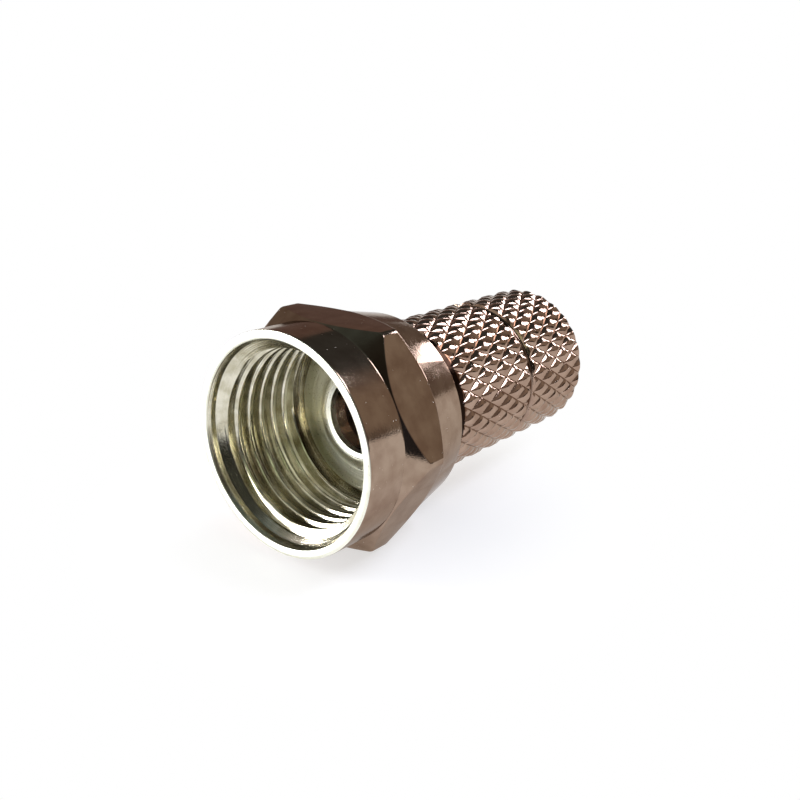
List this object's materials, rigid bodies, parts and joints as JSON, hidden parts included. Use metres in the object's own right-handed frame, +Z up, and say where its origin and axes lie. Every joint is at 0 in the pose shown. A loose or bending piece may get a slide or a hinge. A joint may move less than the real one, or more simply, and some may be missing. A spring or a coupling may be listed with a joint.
{
  "type": "f connector",
  "caption": "Male F connector for coaxial cable, with a hexagonal coupling nut that spins freely on a diamond-knurled twist-on body.",
  "frame": {"origin": "on the connector's axis, where the thread in the coupling nut begins at full form, 1.35 mm inside the mouth", "axes": "+Z up from the surface that the connector lies on; +X runs from the mouth towards the cable end, along the length seen from above; the connector's own axis lies in the XZ plane and dips 4.67 degrees towards the cable end, as it does at rest on a flat of the hexagon and the end of the knurl"},
  "size_m": [0.022, 0.0126, 0.0113],
  "materials": {
    "nickel_plated_nut": "bright nickel plate on turned brass",
    "nickel_plated_body": "bright nickel plate on knurled brass"
  },
  "bodies": {
    "body": {"knurled_body": "nickel_plated_body"},
    "nut": {"coupling_nut": "nickel_plated_nut"}
  },
  "joints": [
    {"name": "nut_spin", "type": "hinge", "parent": "body", "child": "nut", "pos_m": [0, 0, 0], "axis": [-0.9967, 0, 0.0814], "continuous": true}
  ]
}
